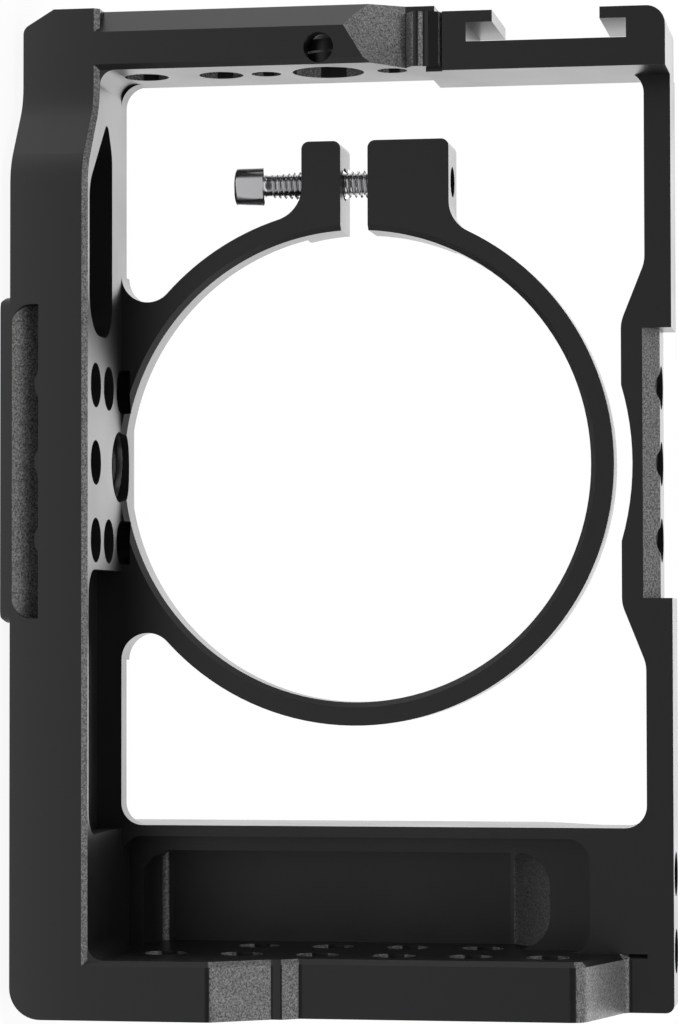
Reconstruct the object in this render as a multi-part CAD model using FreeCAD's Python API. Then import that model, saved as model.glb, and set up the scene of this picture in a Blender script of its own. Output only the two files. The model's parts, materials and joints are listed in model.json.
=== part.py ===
import FreeCAD, Part
import math
import os

# Camera cage for a compact camera: an open frame milled from one aluminium billet,
# with a split lens ring that one socket-head screw clamps, a cold shoe, and a dovetail foot.
# Millimetres. +X is to the operator's right, +Y is the way the camera looks, +Z is up.
# The origin is the mouth of the large tripod hole, in the underside of the foot.

V = FreeCAD.Vector

# Levels along Y, from the operator's side to the subject's side
base_rear = -17.0
left_rear = -11.0
shoe_rear = -6.4
right_rear = -11.2
plate_rear = 1.0
plate_thick = 2.7
wall_front = 4.2
ring_depth = 4.2
lug_depth = 7.0
bar_front = 8.4
grip_front = 14.6
dovetail_width = 38.0

# Levels along Z
foot_drop = 1.15
floor_top = 10.2
top = 75.9
bar_thick = 3.1
bar_under = top - bar_thick

# Levels along X
left_outer = -53.2
left_inner = -46.0
right_inner = 57.2
right_outer = 64.0
rim_chamfer = 2.8
edge_chamfer = 0.6

# Lens ring, clamp lugs and screw
ring_centre_z = 38.4
bore_r = 28.0
ring_wall = 2.75
ring_root_fillet = 3.2
slit = 3.26
lug_reach = 38.6
head_lug = 4.7
thread_lug = 9.7
lug_corner = 0.9
screw_r = 1.75
screw_length = 16.0
screw_head_r = 2.7
screw_head = 3.7
screw_inset = 4.8
screw_x = screw_inset - lug_reach
screw_gap = 4.75
socket_across = 3.0
socket_deep = 2.0
screw_tip = 0.4
screw_clear = 0.2
thread_clear = 0.05

# Dovetail foot
foot_left = -19.0
foot_right = 18.6
groove_half = 16.4
foot_lip = 1.4
groove_rise = 3.1
foot_corner = 1.6
base_front_left = -30.0
base_front_right = 40.0
base_front_top = 6.0

# Windows beside the ring
grip_wall_x = 42.6

# Cold shoe
shoe_outer = -52.4
shoe_slot = 18.6
shoe_post = 4.5
shoe_slot_low = top - shoe_post - shoe_slot
shoe_start = shoe_slot_low - 4.8
shoe_valley = 0.8
facet_inner = shoe_slot_low - 10.4
facet_outer = shoe_slot_low - 16.0
facet_end = shoe_slot_low - 7.2
ridge_low = shoe_slot_low - 7.1
ridge_high = shoe_slot_low - 2.2
ridge_sunk = 2.4
shoe_throat = 12.5
shoe_floor = -48.8
shoe_slot_height = 2.25
shoe_slot_length = 10.4
shoe_inner = -45.5
shoe_post_corner = 2.2

# Top bar
waist_drop = 2.8
waist_under = bar_under - waist_drop
waist_half = 16.5
waist_run = 7.0
waist_corner = 4.0
waist_gap = 2.15
waist_relief = bore_r + ring_wall + waist_gap
rail_half = 15.8
rail_drop = 1.5
rail_slope_rise = 1.9

# Right wall and grip shell
right_step_low = 24.4
step_rear = 4.4
step_run = 6.5
step_ledge = 1.2
right_shoulder = top - 9.5
right_shoulder_run = 3.9
grip_wall = 1.5
pocket_left = 43.9
pocket_low = floor_top
pocket_high = top - 9.8
pocket_corner = 2.6
deep_left = 45.8
deep_low = 12.8
deep_high = top - 19.9
ramp_top = top - 14.9
well_corner = 4.0
shelf_depth = 4.2
grip_slope_top = top - 8.9
grip_slope_run = 7.0

# Outside corners of the frame, seen from behind
slant_top = 4.8
slant_run = 2.2
corner_low_right = 3.6
corner_top_right = 1.0
inner_corner = 1.8
window_corner = 2.6

# Base edge steps from the deep rear rim to the shallower left wall
base_step_start = -42.2
base_step_end = -34.0

# Holes
quarter_r = 2.6
three_eighths_r = 4.2
locating_r = 1.75
pitch = 9.0
row_pitch = 6.6
rim_hole_deep = 6.0
rim_hole_x = left_inner - 1.9
floor_row_y = plate_rear - 0.1
left_row_z = (14.4, 23.4)
mid_tripod_z = 36.2
pin_below = 7.4
pin_above = 7.6
side_row_y = -4.0
top_row_y = 5.0
outer_top_x = 48.1
outer_top_y = 4.6
outer_top_deep = 8.0
grip_rear_row = (-5.0, 16.8, 6)
grip_front_row = (6.4, 25.8, 4)

# Pockets sunk in the floor on both sides of the middle holes
slot_left = -40.6
slot_right = -14.8
slot_rear = -15.6
slot_front = -4.0
slot_deep = 5.5
tray_left = 12.4
tray_right = 43.0
tray_rear = -15.9
tray_deep = 3.0


def arc_points(p0, p1, p2, r):
    # Tangent points and middle of a round of radius r at p1, in a plane
    ax, ay = p0[0] - p1[0], p0[1] - p1[1]
    bx, by = p2[0] - p1[0], p2[1] - p1[1]
    la, lb = math.hypot(ax, ay), math.hypot(bx, by)
    ax, ay, bx, by = ax / la, ay / la, bx / lb, by / lb
    half = math.acos(max(-1.0, min(1.0, ax * bx + ay * by))) / 2
    run = r / math.tan(half)
    mx, my = ax + bx, ay + by
    lm = math.hypot(mx, my)
    mx, my = mx / lm, my / lm
    centre = r / math.sin(half)
    start = (p1[0] + ax * run, p1[1] + ay * run)
    end = (p1[0] + bx * run, p1[1] + by * run)
    middle = (p1[0] + mx * (centre - r), p1[1] + my * (centre - r))
    return start, middle, end


def place(plane, a, b, level):
    # A point of the drawing plane in space: "xy", "xz" or "yz", at its level on the third axis
    if plane == "xy":
        return V(a, b, level)
    if plane == "xz":
        return V(a, level, b)
    return V(level, a, b)


def wire_of(points, plane, level):
    # A closed outline through (a, b) or (a, b, round) points
    n = len(points)
    edges = []
    last = None
    first = None
    for i in range(n):
        p0, p1, p2 = points[i - 1], points[i], points[(i + 1) % n]
        if len(p1) > 2 and p1[2] > 0:
            start, middle, end = arc_points(p0, p1, p2, p1[2])
        else:
            start = end = (p1[0], p1[1])
            middle = None
        start_v = place(plane, start[0], start[1], level)
        if last is not None and last.distanceToPoint(start_v) > 1e-6:
            edges.append(Part.LineSegment(last, start_v).toShape())
        if first is None:
            first = start_v
        if middle is not None:
            end_v = place(plane, end[0], end[1], level)
            edges.append(Part.Arc(start_v, place(plane, middle[0], middle[1], level), end_v).toShape())
            last = end_v
        else:
            last = start_v
    if last.distanceToPoint(first) > 1e-6:
        edges.append(Part.LineSegment(last, first).toShape())
    return Part.Wire(edges)


def prism(points, plane, low, high):
    # The outline's solid between two levels of the plane's own axis
    face = Part.Face(wire_of(points, plane, low))
    return face.extrude(place(plane, 0, 0, high) - place(plane, 0, 0, low))


def box(x0, x1, y0, y1, z0, z1):
    return Part.makeBox(x1 - x0, y1 - y0, z1 - z0, V(x0, y0, z0))


def rod(point, axis, r, length):
    return Part.makeCylinder(r, length, point, axis)


def join(pieces):
    whole = pieces[0]
    if len(pieces) > 1:
        whole = pieces[0].fuse(pieces[1:])
    return whole.removeSplitter()


dovetail_front = base_rear + dovetail_width
plate_front = plate_rear + plate_thick
ring_front = plate_rear + ring_depth
lug_front = plate_rear + lug_depth
screw_y = plate_rear + lug_depth / 2
ring_outer = bore_r + ring_wall
groove_top = foot_lip + groove_rise
over = 1.0


def base_plate():
    # The thick floor: its rear edge steps forward towards the left wall
    rear = [
        (left_outer, left_rear),
        (base_step_start, left_rear, 6.0),
        (base_step_end, base_rear, 6.0),
        (right_outer, base_rear),
        (right_outer, plate_front),
        (left_outer, plate_front),
    ]
    floor = prism(rear, "xy", foot_drop, floor_top)
    rim = [e for e in floor.Edges if e.BoundBox.ZMin > floor_top - 0.01
           and e.BoundBox.YMax < plate_rear and e.BoundBox.XLength > 0.1]
    floor = floor.makeChamfer(edge_chamfer, rim)
    front = prism([
        (base_front_left, plate_rear),
        (base_front_right, plate_rear),
        (base_front_right, dovetail_front, 5.0),
        (base_front_left, dovetail_front, 5.0),
    ], "xy", foot_drop, base_front_top)
    centre_half = math.sqrt((ring_outer + ring_root_fillet) ** 2
                            - (ring_centre_z - floor_top - ring_root_fillet) ** 2) - ring_root_fillet
    saddle = prism([
        (plate_rear, foot_drop),
        (dovetail_front - 6.0, foot_drop),
        (dovetail_front - 6.0, base_front_top),
        (bar_front, floor_top, 3.0),
        (plate_rear, floor_top),
    ], "yz", -centre_half, centre_half)
    return join([floor, front, saddle])


def foot():
    # The dovetail foot under the floor, with its two 45 degree grooves
    block = prism([
        (foot_left, base_rear, foot_corner),
        (foot_right, base_rear, foot_corner),
        (foot_right, dovetail_front, foot_corner),
        (foot_left, dovetail_front, foot_corner),
    ], "xy", 0.0, foot_drop + over)
    return block


def foot_grooves():
    cuts = []
    for rear, way in ((base_rear, 1), (dovetail_front, -1)):
        section = [
            (rear - way * over, foot_lip),
            (rear, foot_lip),
            (rear + way * groove_rise, groove_top),
            (rear - way * over, groove_top),
        ]
        cuts.append(prism(section, "yz", -groove_half - 2 * over, groove_half + 2 * over))
    # The cutter's run-out leaves each groove's ends rounded
    end = groove_half + 1.7
    window = prism([
        (-end, groove_top + over),
        (-end, foot_lip, 2.2),
        (end, foot_lip, 2.2),
        (end, groove_top + over),
    ], "xz", base_rear - 2 * over, dovetail_front + 2 * over)
    return [cut.common(window) for cut in cuts]


def left_wall():
    plan = [
        (left_outer, wall_front),
        (left_outer, left_rear + rim_chamfer),
        (left_outer + rim_chamfer, left_rear),
        (left_inner - edge_chamfer, left_rear),
        (left_inner, left_rear + edge_chamfer),
        (left_inner, wall_front),
    ]
    return prism(plan, "xy", foot_drop, shoe_start + over)


def cold_shoe():
    # The shoe block: a T-slot open to the rear and outwards, closed at its front end
    block = prism([
        (shoe_outer, shoe_start, 0.8),
        (shoe_outer, top, shoe_post_corner),
        (shoe_inner, top),
        (shoe_inner, shoe_start),
    ], "xz", shoe_rear, bar_front)
    return block


def shoe_cut():
    slot_high = shoe_slot_low + shoe_slot
    throat_low = shoe_slot_low + (shoe_slot - shoe_throat) / 2
    under = shoe_floor - shoe_slot_height
    rear = shoe_rear - over
    front = shoe_rear + shoe_slot_length
    wide = box(under, shoe_floor, rear, front, shoe_slot_low, slot_high)
    throat = box(shoe_outer - over, shoe_floor, rear, front, throat_low, throat_low + shoe_throat)
    return wide.fuse(throat)


def top_bar():
    # The thin bar over the camera, waisted round the ring and drawn down in the middle
    zs = [
        (left_inner - over, top),
        (left_inner - over, bar_under),
        (-waist_half - waist_run, bar_under, waist_corner),
        (-waist_half, waist_under, waist_corner),
        (waist_half, waist_under, waist_corner),
        (waist_half + waist_run, bar_under, waist_corner),
        (right_outer, bar_under),
        (right_outer, top),
    ]
    bar = prism(zs, "xz", plate_rear, bar_front)
    relief = rod(V(0, plate_rear - over, ring_centre_z), V(0, 1, 0), waist_relief, bar_front + 2 * over)
    return bar.cut(relief)


def rail_recess():
    # The sunk seat in the top bar, with a sloping rear face
    section = [
        (plate_rear - over, top - rail_drop - rail_slope_rise),
        (plate_rear, top - rail_drop - rail_slope_rise),
        (plate_rear + rail_slope_rise, top - rail_drop),
        (bar_front + over, top - rail_drop),
        (bar_front + over, top + over),
        (plate_rear - over, top + over),
    ]
    return prism(section, "yz", -rail_half, rail_half)


def right_wall():
    # The grip-side wall: its rear edge is deep at the base, shallower beside the grip
    section = [
        (base_rear, foot_drop),
        (base_rear, right_step_low, 1.5),
        (base_rear + step_rear, right_step_low + step_run, 0.6),
        (base_rear + step_rear - 0.1, right_step_low + step_run + step_ledge, 0.6),
        (right_rear, right_step_low + step_run + 2.4 * step_ledge, 1.2),
        (right_rear, right_shoulder, 2.0),
        (plate_rear, right_shoulder + right_shoulder_run, 1.0),
        (plate_rear, top),
        (bar_front, top),
        (bar_front, grip_slope_top, 3.0),
        (grip_front, grip_slope_top - grip_slope_run, 3.0),
        (grip_front, foot_drop, 2.0),
    ]
    wall = prism(section, "yz", right_inner, right_outer)
    rim = [e for e in wall.Edges if e.BoundBox.XMax < right_inner + 0.01
           and e.BoundBox.YMax < plate_rear - 0.5 and e.BoundBox.ZMin > floor_top - 9.5]
    return wall.makeChamfer(edge_chamfer, rim)


def grip_shell():
    # The bulge in front of the camera's own grip
    section = [
        (plate_rear, foot_drop),
        (plate_rear, top),
        (bar_front, top),
        (bar_front, grip_slope_top, 3.0),
        (grip_front, grip_slope_top - grip_slope_run, 3.0),
        (grip_front, foot_drop, 2.0),
    ]
    return prism(section, "yz", grip_wall_x, right_inner)


def grip_pocket():
    # Two levels: a deep well, a ramp, and a shallower shelf
    reach = right_inner
    shelf = prism([
        (pocket_left, pocket_low, pocket_corner),
        (reach, pocket_low),
        (reach, pocket_high, pocket_corner),
        (pocket_left, pocket_high, pocket_corner),
    ], "xz", plate_rear - over, plate_rear + shelf_depth)
    floor_y = grip_front - grip_wall
    well = prism([
        (plate_rear, deep_low - 1.2),
        (floor_y, deep_low, 1.2),
        (floor_y, deep_high, 1.2),
        (plate_rear + shelf_depth, ramp_top),
        (plate_rear, ramp_top),
    ], "yz", deep_left, reach)
    well_outline = prism([
        (deep_left, deep_low - 1.2, well_corner),
        (reach, deep_low - 1.2),
        (reach, ramp_top, well_corner),
        (deep_left, ramp_top, well_corner),
    ], "xz", plate_rear - over, grip_front)
    return shelf.fuse(well.common(well_outline))


def inner_corners():
    # Rounded inside corners: the floor's corners with both walls, and the windows' corners
    fills = []
    spots = [
        (left_inner, floor_top, 1, 1, inner_corner, left_rear + edge_chamfer, plate_rear),
        (right_inner, floor_top, -1, 1, inner_corner, base_rear + edge_chamfer, plate_rear),
        (left_inner, floor_top, 1, 1, window_corner, plate_rear, plate_front),
        (left_inner, bar_under, 1, -1, window_corner, plate_rear, wall_front),
        (grip_wall_x, floor_top, -1, 1, window_corner, plate_rear, plate_front),
        (grip_wall_x, bar_under, -1, -1, window_corner, plate_rear, bar_front),
    ]
    for x, z, way_x, way_z, r, low, high in spots:
        x0, x1 = sorted((x - way_x * 0.3, x + way_x * r))
        z0, z1 = sorted((z - way_z * 0.3, z + way_z * r))
        corner = box(x0, x1, low, high, z0, z1)
        fills.append(corner.cut(rod(V(x + way_x * r, low - over, z + way_z * r), V(0, 1, 0), r,
                                    high - low + 2 * over)))
    return fills


def floor_pockets():
    # The deep slot narrows towards the left wall, where the rim steps forward
    slot = prism([
        (slot_left, slot_front - 2.5, 1.2),
        (slot_left + 8.5, slot_rear, 4.0),
        (slot_right, slot_rear, 5.0),
        (slot_right, slot_front, 4.0),
        (slot_left + 4.0, slot_front, 4.0),
    ], "xy", floor_top - slot_deep, floor_top + over)
    tray = prism([
        (tray_left, tray_rear, 3.0),
        (tray_right, tray_rear, 3.0),
        (tray_right, plate_rear),
        (tray_left, plate_rear),
    ], "xy", floor_top - tray_deep, floor_top + over)
    return [slot, tray]


def shoe_slope():
    # The rear of the left wall runs down to the shoe on a slanted facet, then over a low ridge
    low_y = shoe_rear + shoe_valley
    facets = []
    for x, start in ((left_inner + over, facet_inner), (left_outer - over, facet_outer)):
        facets.append(wire_of([
            (left_rear - 3 * over, start),
            (left_rear, start),
            (low_y, facet_end),
            (low_y, shoe_start + 2 * over),
            (left_rear - 3 * over, shoe_start + 2 * over),
        ], "yz", x))
    return Part.makeLoft(facets, True, True)


def shoe_ridge():
    # The low ridge and the two bands that lead up to the shoe block
    section = [
        (shoe_rear + ridge_sunk, ridge_low + 0.3),
        (shoe_rear + shoe_valley, ridge_low),
        (shoe_rear - 0.9, ridge_low + 1.0, 0.8),
        (shoe_rear - 0.2, ridge_low + 2.2, 0.6),
        (shoe_rear - 0.3, ridge_low + 2.7, 0.4),
        (shoe_rear, ridge_high - 1.0),
        (shoe_rear + ridge_sunk, ridge_high),
    ]
    return prism(section, "yz", shoe_outer, left_inner)


def ring_root():
    # The web that carries the ring, rounded into the floor on both sides
    root_x = math.sqrt((ring_outer + ring_root_fillet) ** 2
                       - (ring_centre_z - floor_top - ring_root_fillet) ** 2)
    web = box(-root_x, root_x, plate_rear, ring_front, floor_top - over, floor_top + 8.0)
    for side in (-1, 1):
        web = web.cut(rod(V(side * root_x, plate_rear - over, floor_top + ring_root_fillet),
                          V(0, 1, 0), ring_root_fillet, ring_depth + 2 * over))
        reach = (ring_outer + ring_root_fillet)
        touch_z = ring_centre_z - (ring_centre_z - floor_top - ring_root_fillet) * ring_outer / reach
        touch_x = root_x * ring_outer / reach
        x0, x1 = sorted((side * touch_x, side * (root_x + over)))
        web = web.cut(box(x0, x1, plate_rear - over, ring_front + over, touch_z, floor_top + 9.0))
    disc = rod(V(0, plate_rear, ring_centre_z), V(0, 1, 0), ring_outer, ring_depth)
    above = box(-40, 40, plate_rear - over, ring_front + over, floor_top + 2 * ring_root_fillet, 90)
    return web.cut(above.cut(disc))


def lens_ring():
    return rod(V(0, plate_rear, ring_centre_z), V(0, 1, 0), ring_outer, ring_depth)


def clamp_lugs():
    low_face = ring_centre_z - slit / 2
    high_face = ring_centre_z + slit / 2
    fillet = 4.0
    head_side = prism([
        (-lug_reach, low_face - head_lug, lug_corner),
        (-lug_reach, low_face, lug_corner),
        (-bore_r + 1.0, low_face),
        (-bore_r + 1.0, low_face - head_lug),
    ], "xz", plate_rear, lug_front)
    thread_side = prism([
        (-lug_reach, high_face, lug_corner),
        (-lug_reach, high_face + thread_lug, lug_corner),
        (-bore_r + 2.5, high_face + thread_lug),
        (-bore_r + 2.5, high_face),
    ], "xz", plate_rear, lug_front)
    blends = []
    for face, way in ((low_face - head_lug, -1), (high_face + thread_lug, 1)):
        offset = abs(face - ring_centre_z) + fillet
        reach = ring_outer + fillet
        cx = -math.sqrt(reach ** 2 - offset ** 2)
        cz = face + way * fillet
        touch_x = cx * ring_outer / reach
        touch_z = ring_centre_z + (cz - ring_centre_z) * ring_outer / reach
        hollow = rod(V(cx, plate_rear - over, cz), V(0, 1, 0), fillet, lug_depth + 2 * over)
        wedge = prism([
            (cx, face),
            (cx, cz),
            (touch_x, touch_z),
            (-bore_r + 1.0, face),
        ], "xz", plate_rear, ring_front)
        blends.append(wedge.cut(hollow))
    return [head_side, thread_side] + blends


def holes():
    cuts = []
    deep = floor_top + 2 * over
    up = V(0, 0, 1)
    wall_through = left_inner - left_outer + 2 * over
    right_through = right_outer - right_inner + 2 * over
    for row in range(3):
        y = floor_row_y - row * row_pitch
        for column in (-1, 0, 1):
            if column == 0 and row != 2:
                continue
            cuts.append(rod(V(column * pitch, y, -over), up, quarter_r, deep))
    cuts.append(rod(V(0, 0, -over), up, three_eighths_r, deep))
    side = V(1, 0, 0)
    for z in left_row_z:
        cuts.append(rod(V(left_outer - over, side_row_y, z), side, quarter_r, wall_through))
    cuts.append(rod(V(left_outer - over, side_row_y, mid_tripod_z), side, three_eighths_r, wall_through))
    for z in (mid_tripod_z - pin_below, mid_tripod_z + pin_above):
        cuts.append(rod(V(left_outer - over, side_row_y, z), side, locating_r, wall_through))
    cuts.append(rod(V(rim_hole_x, left_rear - over, mid_tripod_z), V(0, 1, 0), locating_r, rim_hole_deep + over))
    for y, low, count in (grip_rear_row, grip_front_row):
        for k in range(count):
            cuts.append(rod(V(right_inner - over, y, low + pitch * k), side, quarter_r, right_through))
    for x in (-pitch, 0, pitch):
        cuts.append(rod(V(x, top_row_y, waist_under - 0.4), up, quarter_r, 10.0))
    for x in (outer_top_x, outer_top_x + pitch):
        cuts.append(rod(V(x, outer_top_y, top - outer_top_deep), up, quarter_r, outer_top_deep + over))
    return cuts


def outside():
    # The frame's outline seen from behind: everything outside it is milled away
    outline = [
        (left_outer, top),
        (left_outer, slant_top),
        (left_outer + slant_run, foot_drop, 1.2),
        (foot_left - 0.6, foot_drop, 0.4),
        (foot_left + 0.6, 0.0, 0.4),
        (foot_right - 0.6, 0.0, 0.4),
        (foot_right + 0.6, foot_drop, 0.4),
        (right_outer, foot_drop, corner_low_right),
        (right_outer, top, corner_top_right),
    ]
    return prism(outline, "xz", base_rear - over, dovetail_front + over)


def frame():
    solid = join([
        base_plate(),
        foot(),
        left_wall(),
        cold_shoe(),
        top_bar(),
        right_wall(),
        grip_shell(),
        ring_root(),
        lens_ring(),
    ] + clamp_lugs() + inner_corners())
    bore = rod(V(0, plate_rear - over, ring_centre_z), V(0, 1, 0), bore_r, lug_depth + 2 * over)
    gap = box(-lug_reach - over, 0, plate_rear - over, lug_front + over,
              ring_centre_z - slit / 2, ring_centre_z + slit / 2)
    bevel = Part.makeCone(bore_r + edge_chamfer, bore_r, edge_chamfer,
                          V(0, plate_rear, ring_centre_z), V(0, 1, 0))
    cuts = [bore, bevel, gap, shoe_cut(), rail_recess(), grip_pocket()]
    cuts += foot_grooves() + holes() + floor_pockets() + [shoe_slope()]
    low_lug = ring_centre_z - slit / 2 - head_lug
    cuts.append(rod(V(screw_x, screw_y, low_lug - over), V(0, 0, 1), screw_r + screw_clear,
                    head_lug + over + slit / 2))
    cuts.append(rod(V(screw_x, screw_y, ring_centre_z), V(0, 0, 1), screw_r + thread_clear,
                    slit / 2 + thread_lug + over))
    solid = solid.cut(cuts).fuse(shoe_ridge())
    return solid.common(outside()).removeSplitter()


def regions():
    # Where the one billet is divided into named stretches, at its natural corners
    far = 200.0
    slit_low = ring_centre_z - slit / 2
    lug_line = -ring_outer + 1.2
    named = []
    named.append(("quick_release_foot", box(foot_left - 1.2, foot_right + 1.2, -far, far, -over, groove_top)))
    named.append(("front_tongue", box(left_inner, grip_wall_x, plate_front, far, -over, floor_top)))
    named.append(("base_plate", box(-far, far, -far, far, -over, floor_top)))
    named.append(("cold_shoe", box(-far, shoe_inner, -far, far, shoe_start, far)))
    named.append(("left_wall", box(-far, left_inner + window_corner, -far, far, floor_top, shoe_start)))
    foot_of_wall = box(right_inner - inner_corner, far, -far, plate_rear, floor_top, floor_top + inner_corner)
    named.append(("right_wall", join([box(right_inner, far, -far, far, floor_top, far), foot_of_wall])))
    named.append(("grip_shell", box(grip_wall_x - window_corner, right_inner, -far, far, floor_top, waist_under - 0.3)))
    named.append(("top_bar", box(-far, far, -far, far, waist_under - 0.3, far)))
    named.append(("screw_side_lug", box(-far, lug_line, -far, far, floor_top, ring_centre_z)))
    named.append(("threaded_lug", box(-far, lug_line, -far, far, ring_centre_z, waist_under)))
    root_top = ring_centre_z - ring_outer * 0.735
    named.append(("ring_root", box(-far, far, -far, far, floor_top, root_top)))
    named.append(("ring_short_arm", box(-far, 0, -far, far, root_top, ring_centre_z)))
    named.append(("ring_long_arm", box(-far, far, -far, far, root_top, waist_under)))
    return named


def clamp_screw():
    # A socket-head cap screw, standing out of the lugs as it is before it is tightened
    under_head = ring_centre_z - slit / 2 - head_lug - screw_gap
    centre = V(screw_x, screw_y, under_head)
    shank = rod(centre, V(0, 0, 1), screw_r, screw_length)
    tip = [e for e in shank.Edges if e.BoundBox.ZMin > under_head + screw_length - 0.1]
    shank = shank.makeChamfer(screw_tip, tip)
    head = rod(centre - V(0, 0, screw_head), V(0, 0, 1), screw_head_r, screw_head)
    rims = [e for e in head.Edges if e.BoundBox.ZMax < under_head - screw_head + 0.1]
    head = head.makeFillet(0.5, rims)
    corners = []
    for k in range(6):
        angle = math.radians(60 * k + 30)
        reach = socket_across / math.sqrt(3)
        corners.append((screw_x + reach * math.cos(angle), screw_y + reach * math.sin(angle)))
    low = under_head - screw_head
    socket = prism(corners, "xy", low - over, low + socket_deep)
    return head.cut(socket), shank


def main():
    os.makedirs("parts", exist_ok=True)
    billet = frame()
    taken = None
    pieces = []
    for name, region in regions():
        stretch = billet.common(region)
        if taken is not None:
            stretch = stretch.cut(taken)
        pieces.append((name, stretch))
        taken = region if taken is None else join([taken, region])
    head, shank = clamp_screw()
    pieces.append(("clamp_screw_head", head))
    pieces.append(("clamp_screw_shank", shank))
    for name, shape in pieces:
        shape = shape.removeSplitter()
        solids = shape.Solids
        print(name, len(solids), [round(s.Volume, 2) for s in solids], shape.isValid())
        result = solids[0] if len(solids) == 1 else Part.makeCompound(solids)
        result.exportStep(os.path.join("parts", name + ".step"))
    print("billet", len(billet.Solids), round(billet.Volume, 2))


main()
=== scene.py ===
import json
import math

import bmesh
import bpy
from mathutils import Matrix, Vector


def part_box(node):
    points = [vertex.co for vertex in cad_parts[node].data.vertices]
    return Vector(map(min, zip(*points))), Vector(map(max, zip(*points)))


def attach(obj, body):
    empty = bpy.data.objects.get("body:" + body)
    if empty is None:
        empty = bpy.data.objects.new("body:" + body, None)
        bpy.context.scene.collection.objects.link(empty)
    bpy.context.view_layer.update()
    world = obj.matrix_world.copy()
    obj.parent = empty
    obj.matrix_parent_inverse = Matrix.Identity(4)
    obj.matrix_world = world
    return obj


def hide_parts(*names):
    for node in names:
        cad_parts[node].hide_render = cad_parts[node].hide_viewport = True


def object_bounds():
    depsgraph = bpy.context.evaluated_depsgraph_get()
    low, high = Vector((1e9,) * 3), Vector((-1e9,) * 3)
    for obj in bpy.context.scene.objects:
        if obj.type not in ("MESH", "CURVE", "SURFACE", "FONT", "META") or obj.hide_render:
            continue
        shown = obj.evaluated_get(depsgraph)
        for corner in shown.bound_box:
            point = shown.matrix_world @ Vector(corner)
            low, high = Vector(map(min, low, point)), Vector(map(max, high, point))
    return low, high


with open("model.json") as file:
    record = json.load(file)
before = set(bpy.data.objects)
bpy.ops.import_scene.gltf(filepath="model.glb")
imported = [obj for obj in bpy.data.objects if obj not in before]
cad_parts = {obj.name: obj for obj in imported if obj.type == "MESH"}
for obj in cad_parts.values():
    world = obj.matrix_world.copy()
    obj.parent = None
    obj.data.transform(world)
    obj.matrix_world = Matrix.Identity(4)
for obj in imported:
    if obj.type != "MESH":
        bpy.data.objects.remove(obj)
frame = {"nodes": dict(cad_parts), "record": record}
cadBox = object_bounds()
mm = 0.001
print("frame loaded")


# Places read from the frame

def nodeBox(name):
    low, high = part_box(name)
    return Vector(low), Vector(high)


mountPlaces = {m["name"]: m for m in frame["record"]["mounts"]}


# Small helpers for shader nodes

def put(tree, socket, value):
    # Another node's output is linked to the socket, and anything else is its value
    if isinstance(value, bpy.types.NodeSocket):
        tree.links.new(value, socket)
    else:
        socket.default_value = value


def mathNode(tree, operation, *values):
    node = tree.nodes.new("ShaderNodeMath")
    node.operation = operation
    for socket, value in zip(node.inputs, values):
        put(tree, socket, value)
    return node.outputs[0]


def colourMix(tree, factor, first, second):
    node = tree.nodes.new("ShaderNodeMix")
    node.data_type = "RGBA"
    put(tree, node.inputs["Factor"], factor)
    put(tree, node.inputs[6], first)
    put(tree, node.inputs[7], second)
    return node.outputs[2]


def rangeNode(tree, value, low, high, interpolation="LINEAR"):
    node = tree.nodes.new("ShaderNodeMapRange")
    node.interpolation_type = interpolation
    put(tree, node.inputs["From Min"], low)
    put(tree, node.inputs["From Max"], high)
    tree.links.new(value, node.inputs["Value"])
    return node


def noiseNode(tree, scale, detail, roughness=0.5):
    coords = tree.nodes.new("ShaderNodeTexCoord")
    node = tree.nodes.new("ShaderNodeTexNoise")
    tree.links.new(coords.outputs["Object"], node.inputs["Vector"])
    put(tree, node.inputs["Scale"], scale)
    node.inputs["Detail"].default_value = detail
    node.inputs["Roughness"].default_value = roughness
    return node.outputs["Fac"]


def splitCoords(tree, kind):
    coords = tree.nodes.new("ShaderNodeTexCoord")
    split = tree.nodes.new("ShaderNodeSeparateXYZ")
    tree.links.new(coords.outputs[kind], split.inputs["Vector"])
    return split.outputs


# Node groups that several finishes share

def newGroup(name, inputs, outputs):
    group = bpy.data.node_groups.new(name, "ShaderNodeTree")
    for label, kind, value in inputs:
        socket = group.interface.new_socket(name=label, in_out="INPUT", socket_type=kind)
        socket.default_value = value
    for label, kind in outputs:
        group.interface.new_socket(name=label, in_out="OUTPUT", socket_type=kind)
    return group, group.nodes.new("NodeGroupInput").outputs, group.nodes.new("NodeGroupOutput").inputs


def blastedGrainGroup():
    # Fine pits of bead blasting as a height, and a faint cloudy mottling of colour and roughness
    group, given, made = newGroup(
        "blastedGrain",
        [("Grain size", "NodeSocketFloat", 5200.0), ("Mottle", "NodeSocketFloat", 0.12),
         ("Cloud size", "NodeSocketFloat", 90.0), ("Base", "NodeSocketColor", (0.02, 0.02, 0.02, 1.0))],
        [("Colour", "NodeSocketColor"), ("Height", "NodeSocketFloat"), ("Roughness shift", "NodeSocketFloat")])
    pits = noiseNode(group, given["Grain size"], detail=2.0)
    cloud = noiseNode(group, given["Cloud size"], detail=5.0)
    mottled = mathNode(group, "SUBTRACT", cloud, 0.5)  # so that it swings both ways around 0
    swing = mathNode(group, "MULTIPLY_ADD", mottled, given["Mottle"], 1.0)
    shade = group.nodes.new("ShaderNodeVectorMath")
    shade.operation = "SCALE"
    group.links.new(given["Base"], shade.inputs[0])
    group.links.new(swing, shade.inputs["Scale"])
    group.links.new(shade.outputs["Vector"], made["Colour"])
    group.links.new(pits, made["Height"])
    group.links.new(mottled, made["Roughness shift"])
    return group


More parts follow.
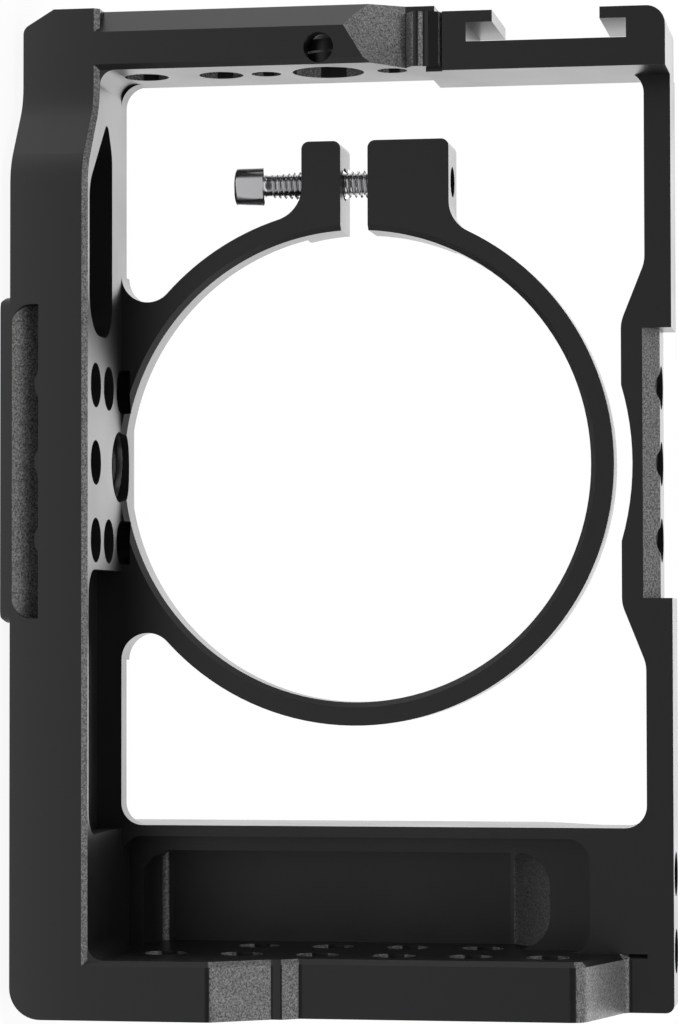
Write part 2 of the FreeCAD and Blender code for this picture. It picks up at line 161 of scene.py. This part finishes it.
def dustGroup():
    # Sparse pale specks of lint and handling dust, in cloudy patches
    group, given, made = newGroup(
        "dustSpecks",
        [("Spacing", "NodeSocketFloat", 160.0), ("Speck size", "NodeSocketFloat", 0.03),
         ("Patch size", "NodeSocketFloat", 60.0), ("Patch edge", "NodeSocketFloat", 0.52)],
        [("Mask", "NodeSocketFloat")])
    coords = group.nodes.new("ShaderNodeTexCoord")
    cells = group.nodes.new("ShaderNodeTexVoronoi")
    cells.feature = "F1"
    group.links.new(coords.outputs["Object"], cells.inputs["Vector"])
    group.links.new(given["Spacing"], cells.inputs["Scale"])
    near = mathNode(group, "LESS_THAN", cells.outputs["Distance"], given["Speck size"])
    patches = noiseNode(group, given["Patch size"], detail=2.0)
    dusty = mathNode(group, "GREATER_THAN", patches, given["Patch edge"])
    group.links.new(mathNode(group, "MULTIPLY", near, dusty), made["Mask"])
    return group


def paintedSparkleFacesGroup():
    # Slanted faces of the rear side, told by how much of the normal lies along Y and along Z: the faces that
    # get the painted sparkle
    group, given, made = newGroup(
        "paintedSparkleFaces",
        [("Flattest", "NodeSocketFloat", 0.93), ("Steepest", "NodeSocketFloat", 0.3),
         ("Least upright", "NodeSocketFloat", 0.22)],
        [("Mask", "NodeSocketFloat")])
    normal = splitCoords(group, "Normal")
    back = mathNode(group, "MULTIPLY", normal["Y"], -1.0)
    below = mathNode(group, "LESS_THAN", back, given["Flattest"])
    above = mathNode(group, "GREATER_THAN", back, given["Steepest"])
    slanted = mathNode(group, "MULTIPLY", below, above)
    upright = mathNode(group, "ABSOLUTE", normal["Z"])
    raised = mathNode(group, "GREATER_THAN", upright, given["Least upright"])
    group.links.new(mathNode(group, "MULTIPLY", slanted, raised), made["Mask"])
    return group


def paintedSparkleGroup():
    # Painted sparkle: coarse bright grains of painted highlight on slanted faces, standing in for the light
    # that those faces catch
    group, given, made = newGroup(
        "paintedSparkle",
        [("Grains", "NodeSocketFloat", 4600.0), ("Dark", "NodeSocketColor", (0.03, 0.03, 0.03, 1.0)),
         ("Light", "NodeSocketColor", (0.3, 0.3, 0.3, 1.0)), ("Darkest at", "NodeSocketFloat", 0.38),
         ("Lightest at", "NodeSocketFloat", 0.66)],
        [("Colour", "NodeSocketColor")])
    grains = noiseNode(group, given["Grains"], detail=3.0, roughness=0.75)
    spread = rangeNode(group, grains, given["Darkest at"], given["Lightest at"])
    group.links.new(colourMix(group, spread.outputs["Result"], given["Dark"], given["Light"]), made["Colour"])
    return group


blastedGrain = blastedGrainGroup()
paintedSparkleFaces = paintedSparkleFacesGroup()
paintedSparkle = paintedSparkleGroup()
dustSpecks = dustGroup()


def addGroup(tree, group, **values):
    # A keyword's underscore stands for the space in the socket's name
    node = tree.nodes.new("ShaderNodeGroup")
    node.node_tree = group
    for label, value in values.items():
        node.inputs[label.replace("_", " ")].default_value = value
    return node


def emptyMaterial(name):
    material = bpy.data.materials.new(name)
    material.use_nodes = True
    tree = material.node_tree
    tree.nodes.clear()
    shader = tree.nodes.new("ShaderNodeBsdfPrincipled")
    output = tree.nodes.new("ShaderNodeOutputMaterial")
    tree.links.new(shader.outputs["BSDF"], output.inputs["Surface"])
    return material, tree, shader, output


anodise = {
    "colour": (0.007, 0.007, 0.0072, 1.0),
    # The slant colours and grains below are painted sparkle, a painted highlight on the slanted faces
    "paintedSparkleDark": (0.02, 0.02, 0.021, 1.0),
    "paintedSparkleLight": (0.26, 0.26, 0.26, 1.0),
    "paintedSparkleGrains": 4600.0,
    "slantFlattest": 0.93,
    "slantSteepest": 0.3,
    "slantUpright": 0.22,
    "roughness": 0.34,
    "roughnessSwing": 0.12,
    "grainScale": 5200.0,
    "grainDepth": 0.000012,
    "grainStrength": 0.35,
    "mottle": 0.25,
    "dustColour": (0.35, 0.35, 0.34, 1.0),
    "dustSpacing": 150.0,
    "dustSize": 0.022,
    "ior": 1.5,
}


def blackAnodised(name, slanted):
    material, tree, shader, output = emptyMaterial(name)
    grain = addGroup(tree, blastedGrain, Grain_size=anodise["grainScale"], Mottle=anodise["mottle"],
                     Base=anodise["colour"])
    dust = addGroup(tree, dustSpecks, Spacing=anodise["dustSpacing"], Speck_size=anodise["dustSize"])
    skin = colourMix(tree, dust.outputs["Mask"], grain.outputs["Colour"], anodise["dustColour"])
    # Slanted faces get painted sparkle: grains of painted highlight mixed over the skin
    if slanted:
        slant = addGroup(tree, paintedSparkleFaces, Flattest=anodise["slantFlattest"],
                         Steepest=anodise["slantSteepest"], Least_upright=anodise["slantUpright"])
        grains = addGroup(tree, paintedSparkle, Grains=anodise["paintedSparkleGrains"], Dark=anodise["paintedSparkleDark"],
                          Light=anodise["paintedSparkleLight"])
        skin = colourMix(tree, slant.outputs["Mask"], skin, grains.outputs["Colour"])
    tree.links.new(skin, shader.inputs["Base Color"])
    rough = mathNode(tree, "MULTIPLY_ADD", grain.outputs["Roughness shift"], anodise["roughnessSwing"],
                     anodise["roughness"])
    tree.links.new(rough, shader.inputs["Roughness"])
    bump = tree.nodes.new("ShaderNodeBump")
    bump.inputs["Strength"].default_value = anodise["grainStrength"]
    bump.inputs["Distance"].default_value = anodise["grainDepth"]
    tree.links.new(grain.outputs["Height"], bump.inputs["Height"])
    tree.links.new(bump.outputs["Normal"], shader.inputs["Normal"])
    shader.inputs["IOR"].default_value = anodise["ior"]
    return material


steel = {
    "colour": (0.6, 0.6, 0.61, 1.0),
    "roughness": 0.2,
    "roughnessSwing": 0.2,
    "grainScale": 2400.0,
    "mottle": 0.15,
}


def brightSteel():
    material, tree, shader, output = emptyMaterial("brightSteel")
    grain = addGroup(tree, blastedGrain, Grain_size=steel["grainScale"], Mottle=steel["mottle"],
                     Base=steel["colour"])
    tree.links.new(grain.outputs["Colour"], shader.inputs["Base Color"])
    rough = mathNode(tree, "MULTIPLY_ADD", grain.outputs["Roughness shift"], steel["roughnessSwing"],
                     steel["roughness"])
    tree.links.new(rough, shader.inputs["Roughness"])
    shader.inputs["Metallic"].default_value = 1.0
    return material


# The room: pale floor, white background, soft lamps

room = {
    "floorColour": (0.86, 0.86, 0.86, 1.0),
    "floorRoughness": 0.9,
    "floorWhite": 0.92,  # share of plain white in what the camera sees of the floor
    "floorNear": 0.7,  # level in reflections on the camera's side
    "floorFar": 1.8,  # level in reflections beyond the part
    "floorTurns": (-0.05, 0.03),  # metres along Y between which that level changes
    "floorBelow": 0.00002,
    "floorHalf": 3.0,
    "behindCamera": 0.07,
    "softboxes": 1.8,
    "betweenSoftboxes": 0.14,
    "sides": 0.5,
    "beyondPart": 2.3,
    "bandPlaces": (0.0, 0.1, 0.21, 0.3, 0.42, 0.56, 0.9),  # from behind the camera to beyond the part
    "softboxFade": (0.15, 0.55),  # heights between which the softboxes come in
}


def paleFloor():
    mesh = bpy.data.meshes.new("paleFloor")
    shape = bmesh.new()
    bmesh.ops.create_grid(shape, x_segments=8, y_segments=8, size=room["floorHalf"])
    shape.to_mesh(mesh)
    shape.free()
    floor = bpy.data.objects.new("paleFloor", mesh)
    bpy.context.scene.collection.objects.link(floor)
    floor.location.z = cadBox[0][2] - room["floorBelow"]
    material, tree, shader, output = emptyMaterial("paleFloorPaint")
    shader.inputs["Base Color"].default_value = room["floorColour"]
    shader.inputs["Roughness"].default_value = room["floorRoughness"]
    glow = tree.nodes.new("ShaderNodeEmission")
    rays = tree.nodes.new("ShaderNodeLightPath").outputs
    # In reflections the floor is dark on the camera's side and bright beyond the part
    level = rangeNode(tree, splitCoords(tree, "Object")["Y"], *room["floorTurns"])
    level.inputs["To Min"].default_value = room["floorNear"]
    level.inputs["To Max"].default_value = room["floorFar"]
    shine = mathNode(tree, "MULTIPLY", rays["Is Glossy Ray"], level.outputs["Result"])
    strength = mathNode(tree, "ADD", rays["Is Camera Ray"], shine)
    tree.links.new(strength, glow.inputs["Strength"])
    # The camera sees nearly plain white, and enough of the paint for the shadow to show
    seen = mathNode(tree, "MAXIMUM", rays["Is Camera Ray"], rays["Is Glossy Ray"])
    share = mathNode(tree, "MULTIPLY", rays["Is Camera Ray"], room["floorWhite"] - 1.0)
    blend = tree.nodes.new("ShaderNodeMixShader")
    tree.links.new(mathNode(tree, "ADD", seen, share), blend.inputs["Fac"])
    tree.links.new(shader.outputs["BSDF"], blend.inputs[1])
    tree.links.new(glow.outputs["Emission"], blend.inputs[2])
    tree.links.new(blend.outputs["Shader"], output.inputs["Surface"])
    mesh.materials.append(material)


def studioWorld():
    # Dark behind the camera, softboxes above and below it, dimmer at the sides, white beyond the part
    world = bpy.data.worlds.new("studioWorld")
    bpy.context.scene.world = world
    world.use_nodes = True
    tree = world.node_tree
    tree.nodes.clear()
    output = tree.nodes.new("ShaderNodeOutputWorld")
    way = splitCoords(tree, "Generated")
    along = mathNode(tree, "MULTIPLY_ADD", way["Y"], 0.5, 0.5)  # from 0 behind the camera to 1 beyond
    behind, sides, beyond = room["behindCamera"], room["sides"], room["beyondPart"]
    brightest = max(behind, room["softboxes"], sides, beyond)

    def bands(softbox):
        node = tree.nodes.new("ShaderNodeValToRGB")
        ramp = node.color_ramp
        ramp.interpolation = "EASE"
        levels = (behind, behind, softbox, softbox, sides, sides, beyond)
        while len(ramp.elements) < len(levels):
            ramp.elements.new(0.5)
        for element, place, level in zip(ramp.elements, room["bandPlaces"], levels):
            element.position = place
            element.color = (level / brightest,) * 3 + (1.0,)
        tree.links.new(along, node.inputs["Fac"])
        return node.outputs["Color"]

    lamps = bands(room["softboxes"])
    plain = bands(room["betweenSoftboxes"])
    height = mathNode(tree, "ABSOLUTE", way["Z"])
    share = rangeNode(tree, height, *room["softboxFade"], "SMOOTHSTEP")
    lit = tree.nodes.new("ShaderNodeBackground")
    lit.inputs["Strength"].default_value = brightest
    tree.links.new(colourMix(tree, share.outputs["Result"], plain, lamps), lit.inputs["Color"])
    white = tree.nodes.new("ShaderNodeBackground")
    white.inputs["Strength"].default_value = 1.0
    rays = tree.nodes.new("ShaderNodeLightPath").outputs
    blend = tree.nodes.new("ShaderNodeMixShader")
    tree.links.new(rays["Is Camera Ray"], blend.inputs["Fac"])
    tree.links.new(lit.outputs["Background"], blend.inputs[1])
    tree.links.new(white.outputs["Background"], blend.inputs[2])
    tree.links.new(blend.outputs["Shader"], output.inputs["Surface"])


softLamps = {
    "topLamp": {"place": (-0.1, -0.1, 0.9), "across": 0.8, "watts": 0.5},
    "leftLamp": {"place": (-0.9, -0.3, 0.4), "across": 0.6, "watts": 0.35},
    "rightLamp": {"place": (0.9, -0.2, 0.4), "across": 0.6, "watts": 0.35},
}
lampAim = Vector((0, 0, 0.03))


def softLamp(name, place, across, watts):
    light = bpy.data.lights.new(name, "AREA")
    light.shape = "RECTANGLE"
    light.size = light.size_y = across
    light.energy = watts
    lamp = bpy.data.objects.new(name, light)
    bpy.context.scene.collection.objects.link(lamp)
    lamp.location = place
    lamp.rotation_euler = (lampAim - Vector(place)).to_track_quat("-Z", "Y").to_euler()


# The photograph's camera: a long lens, rolled a quarter turn, above the lens axis

view = {
    "place": (0.020379, -0.422968, 0.107461),
    "turn": (2.5706, -80.5004, 89.4037),
    "lens": 127.8,
    "sensor": 36.0,
    "nearest": 0.01,
}


def photoCamera():
    data = bpy.data.cameras.new("photoCamera")
    data.sensor_width = view["sensor"]
    data.lens = view["lens"]
    data.clip_start = view["nearest"]
    camera = bpy.data.objects.new("photoCamera", data)
    bpy.context.scene.collection.objects.link(camera)
    camera.location = view["place"]
    camera.rotation_euler = [math.radians(a) for a in view["turn"]]
    bpy.context.scene.camera = camera


paleFloor()
studioWorld()
for lampName, values in softLamps.items():
    softLamp(lampName, **values)
photoCamera()
print("room, lamps and camera set")


# Frame finishes: the ring and its lugs are turned or round, and get no painted sparkle on slanted faces

# The first black carries painted sparkle, a painted highlight on slanted faces; the second has none
blackWithPaintedSparkle = blackAnodised("blackAnodised", True)
blackNoPaintedSparkle = blackAnodised("blackNoPaintedSparkle", False)
bright = brightSteel()
for nodeName, node in frame["nodes"].items():
    finish = blackWithPaintedSparkle
    if nodeName.startswith("clamp_screw"):
        finish = bright
    elif nodeName.startswith("ring") or nodeName.endswith("lug"):
        finish = blackNoPaintedSparkle
    node.data.materials.clear()
    node.data.materials.append(finish)
print("finishes on the frame")


# Shapes

sharpAngle = math.radians(35)


def meshObject(name, points, faces, material, body):
    mesh = bpy.data.meshes.new(name)
    mesh.from_pydata([tuple(p) for p in points], [], faces)
    mesh.validate()
    mesh.materials.append(material)
    for polygon in mesh.polygons:
        polygon.use_smooth = True
    mesh.set_sharp_from_angle(angle=sharpAngle)
    piece = bpy.data.objects.new(name, mesh)
    bpy.context.scene.collection.objects.link(piece)
    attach(piece, body)
    return piece


def axisFrame(origin, axis):
    # The origin, two directions across the axis, and the axis itself
    w = Vector(axis).normalized()
    u = w.orthogonal().normalized()
    v = w.cross(u)
    return Vector(origin), u, v, w


ridge = {
    "footHalf": 0.42,  # half widths as shares of the pitch
    "crestHalf": 0.06,
    "fade": 3.0,  # the ridge rises to its full height in a third of a turn
}


def helixRidge(origin, axis, root, crest, pitch, length, steps):
    # One turn after another of a triangular ridge, closed at both ends
    place, u, v, w = axisFrame(origin, axis)
    points, faces = [], []
    count = max(2, int(steps * length / pitch))
    half = pitch * ridge["footHalf"]
    flat = pitch * ridge["crestHalf"]
    for i in range(count + 1):
        turn = 2 * math.pi * i / steps
        along = length * i / count
        rise = min(1.0, ridge["fade"] * i / steps, ridge["fade"] * (count - i) / steps)
        way = u * math.cos(turn) + v * math.sin(turn)
        tip = root + (crest - root) * rise
        for radius, shift in ((root, -half), (tip, -flat), (tip, flat), (root, half)):
            points.append(place + way * radius + w * (along + shift))
    for i in range(count):
        a, b = 4 * i, 4 * (i + 1)
        for k in range(4):
            n = (k + 1) % 4
            faces.append((a + k, a + n, b + n, b + k))
    faces.append((0, 1, 2, 3))
    last = 4 * count
    faces.append((last + 3, last + 2, last + 1, last))
    return points, faces


def turned(origin, axis, profile, facets):
    # A closed turned solid from (radius, along) pairs, with radius 0 at both ends
    place, u, v, w = axisFrame(origin, axis)
    points, faces, rings = [], [], []
    for radius, along in profile:
        if radius == 0:
            rings.append([len(points)])
            points.append(place + w * along)
            continue
        ring = []
        for k in range(facets):
            a = 2 * math.pi * k / facets
            ring.append(len(points))
            points.append(place + (u * math.cos(a) + v * math.sin(a)) * radius + w * along)
        rings.append(ring)
    for low, high in zip(rings, rings[1:]):
        for k in range(facets):
            n = (k + 1) % facets
            if len(low) == 1:
                faces.append((low[0], high[n], high[k]))
            elif len(high) == 1:
                faces.append((low[k], low[n], high[0]))
            else:
                faces.append((low[k], low[n], high[n], high[k]))
    return points, faces


# The clamp screw, in millimetres

screw = {
    "threadPitch": 0.65,
    "threadDepth": 0.3,
    "threadStart": 0.5,  # plain length under the head
    "threadEnds": 1.2,  # plain length of both ends together
    "ridgeSunk": 0.03,
    "threadSteps": 28,
    "coreFacets": 32,
    "headGap": 0.01,
    "collar": 0.1,
    "collarLength": 0.2,
    "tipTaper": 0.35,
    "tipLength": 0.5,
    "headFacets": 48,
    "rimRound": 0.45,
    "rimSteps": 4,
    "rimBreak": 0.12,
    "socketAcross": 3.0,
    "socketDeep": 2.0,
    "socketMouth": 1.2,  # the mouth's width as a share of the hexagon's
    "socketBreak": 0.12,
    "socketCone": 0.4,
    "backFlat": 0.5,
    "coneFlat": 0.2,
}


def clampScrewHead():
    low, high = nodeBox("clamp_screw_head")
    middle = (low + high) / 2
    radius = (high.x - low.x) / 2
    soft = screw["rimRound"] * mm
    across = screw["socketAcross"] * mm
    socketFloor = low.z + screw["socketDeep"] * mm
    facets = screw["headFacets"]
    points, faces, rings = [], [], []

    def ring(radiusAt, z):
        row = []
        for k in range(facets):
            a = 2 * math.pi * k / facets
            r = radiusAt(a)
            row.append(len(points))
            points.append(Vector((middle.x + r * math.cos(a), middle.y + r * math.sin(a), z)))
        rings.append(row)

    def circle(r):
        return lambda a: r

    def hexagon(a):
        return across / 2 / math.cos((a % (math.pi / 3)) - math.pi / 6)

    ring(circle(screw["backFlat"] * mm), high.z)
    ring(circle(radius - screw["rimBreak"] * mm), high.z)
    ring(circle(radius), high.z - screw["rimBreak"] * mm)
    for k in range(screw["rimSteps"] + 1):
        a = math.pi / 2 * k / screw["rimSteps"]
        ring(circle(radius - soft + soft * math.cos(a)), low.z + soft - soft * math.sin(a))
    ring(circle(across / 2 * screw["socketMouth"]), low.z)
    ring(hexagon, low.z + screw["socketBreak"] * mm)
    ring(hexagon, socketFloor)
    ring(circle(screw["coneFlat"] * mm), socketFloor + screw["socketCone"] * mm)
    for one, two in zip(rings, rings[1:]):
        for k in range(facets):
            n = (k + 1) % facets
            faces.append((one[k], two[k], two[n], one[n]))
    faces.append(tuple(rings[0]))
    faces.append(tuple(reversed(rings[-1])))
    head = meshObject("clampScrewHead", points, faces, bright, "screw_turn")
    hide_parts("clamp_screw_head")


def clampScrewThread():
    low, high = nodeBox("clamp_screw_shank")
    middle = (low + high) / 2
    radius = (high.x - low.x) / 2
    core = radius - screw["threadDepth"] * mm
    start = Vector((middle.x, middle.y, low.z))
    length = high.z - low.z
    headGap = screw["headGap"] * mm
    points, faces = turned(start, (0, 0, 1), [
        (0, headGap),
        (core + screw["collar"] * mm, headGap),
        (core, screw["collarLength"] * mm),
        (core, length - screw["tipLength"] * mm),
        (core - screw["tipTaper"] * mm, length),
        (0, length),
    ], screw["coreFacets"])
    strip, stripFaces = helixRidge(
        start + Vector((0, 0, screw["threadStart"] * mm)), (0, 0, 1), core - screw["ridgeSunk"] * mm,
        radius, screw["threadPitch"] * mm, length - screw["threadEnds"] * mm, screw["threadSteps"])
    shift = len(points)
    points += strip
    faces += [tuple(i + shift for i in face) for face in stripFaces]
    thread = meshObject("clampScrewThread", points, faces, bright, "screw_travel")
    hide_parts("clamp_screw_shank")


clampScrewHead()
clampScrewThread()
print("clamp screw made")


# The cold shoe, with its slot run through to the front, in millimetres

shoe = {
    "front": 6.9,
    "slotLow": 52.8,
    "slotHigh": 71.4,
    "throat": 12.5,
    "slotFloor": -48.8,
    "slotHeight": 2.25,
    "clearLow": (-60.0, 3.0, 40.0),  # two corners of a box well around the block's front
    "clearHigh": (-40.0, 12.0, 90.0),
}


def cutBox(name, low, high):
    shape = bmesh.new()
    bmesh.ops.create_cube(shape, size=1.0)
    middle = (Vector(low) + Vector(high)) / 2 * mm
    size = (Vector(high) - Vector(low)) * mm
    place = Matrix.Translation(middle) @ Matrix.Diagonal((*size, 1.0))
    bmesh.ops.transform(shape, matrix=place, verts=shape.verts)
    mesh = bpy.data.meshes.new(name)
    shape.to_mesh(mesh)
    shape.free()
    cutter = bpy.data.objects.new(name, mesh)
    bpy.context.scene.collection.objects.link(cutter)
    return cutter


def coldShoe():
    source = frame["nodes"]["cold_shoe"]
    piece = bpy.data.objects.new("coldShoeBlock", source.data.copy())
    bpy.context.scene.collection.objects.link(piece)
    middle = (shoe["slotLow"] + shoe["slotHigh"]) / 2
    half = shoe["throat"] / 2
    slotFloor = shoe["slotFloor"]
    under = slotFloor - shoe["slotHeight"]
    outside, cutFrom, below = shoe["clearLow"]
    inside, beyond, above = shoe["clearHigh"]
    cutters = [
        cutBox("slotCutter", (under, cutFrom, shoe["slotLow"]), (slotFloor, beyond, shoe["slotHigh"])),
        cutBox("throatCutter", (outside, cutFrom, middle - half), (slotFloor, beyond, middle + half)),
        cutBox("frontCutter", (outside, shoe["front"], below), (inside, beyond, above)),
    ]
    for cutter in cutters:
        cut = piece.modifiers.new(cutter.name, "BOOLEAN")
        cut.operation = "DIFFERENCE"
        cut.solver = "EXACT"
        cut.object = cutter
    bpy.context.view_layer.update()
    graph = bpy.context.evaluated_depsgraph_get()
    mesh = bpy.data.meshes.new_from_object(piece.evaluated_get(graph))
    piece.modifiers.clear()
    piece.data = mesh
    for cutter in cutters:
        bpy.data.objects.remove(cutter)
    mesh.materials.clear()
    mesh.materials.append(blackWithPaintedSparkle)
    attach(piece, "cage")
    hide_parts("cold_shoe")


coldShoe()
print("cold shoe made")


# Threads in the accessory holes, in millimetres

threads = {
    "quarterPitch": 1.27,
    "threeEighthsPitch": 1.5875,
    "threeEighthsFrom": 3,  # bore radius above which a hole has the larger thread
    "endGap": 0.75,
    "seatLength": 3.1,  # the holes in the top bar's sunk seat are shorter
    "depth": 0.34,
    "sunk": 0.05,
    "steps": 26,
}


def threadedHoles():
    for name, mount in mountPlaces.items():
        if mount["kind"] != "threaded_hole":
            continue
        boreRadius = mount["dims"]["r_mm"]
        length = mount["dims"]["length_mm"]
        if name.startswith("top_quarter"):
            length = threads["seatLength"]
        pitch = threads["quarterPitch"]
        if boreRadius > threads["threeEighthsFrom"]:
            pitch = threads["threeEighthsPitch"]
        inward = -Vector(mount["axis"])
        start = Vector(mount["pos_m"]) + inward * threads["endGap"] * mm
        points, faces = helixRidge(
            start, inward, (boreRadius + threads["sunk"]) * mm, (boreRadius - threads["depth"]) * mm,
            pitch * mm, (length - 2 * threads["endGap"]) * mm, threads["steps"])
        meshObject("thread_" + name, points, faces, blackNoPaintedSparkle, "cage")


threadedHoles()
print("threads cut in the accessory holes")

bpy.context.scene.view_settings.view_transform = "Standard"
